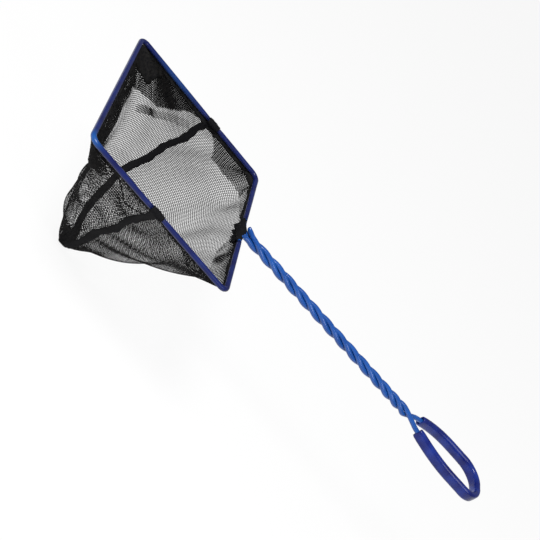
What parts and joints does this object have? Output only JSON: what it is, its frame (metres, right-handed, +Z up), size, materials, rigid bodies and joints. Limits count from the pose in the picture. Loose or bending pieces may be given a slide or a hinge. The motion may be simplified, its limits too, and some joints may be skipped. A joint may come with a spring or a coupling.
{
  "type": "aquarium fish net",
  "caption": "Hand net for an aquarium: a rectangular wire hoop with a tapered mesh bag, on a twisted wire handle that ends in a sleeved grip loop.",
  "frame": {"origin": "the point inside the tip of the grip loop where the net hangs on a hook", "axes": "+X from the hoop along the handle to the grip loop's tip, +Y across the hoop, +Z up out of the hoop's mouth, with the bag towards -Z"},
  "size_m": [0.3956, 0.1568, 0.1211],
  "materials": {
    "coated_wire": "steel wire with a glossy blue vinyl coat on the handle",
    "navy_vinyl": "satin navy vinyl",
    "black_mesh": "fine woven nylon mesh",
    "black_tape": "matte woven binding tape"
  },
  "bodies": {
    "root": {"frame_wire": "coated_wire", "grip_sleeve": "navy_vinyl", "rim_sleeve_front": "navy_vinyl", "rim_sleeve_far": "navy_vinyl", "rim_sleeve_near": "navy_vinyl", "hem_front": "black_mesh", "hem_far": "black_mesh", "hem_near": "black_mesh", "net_panel_front": "black_mesh", "net_panel_rear": "black_mesh", "seam_tape": "black_tape", "seam_wrap_far": "black_tape", "seam_wrap_near": "black_tape", "throat_gather": "black_tape"}
  },
  "joints": []
}
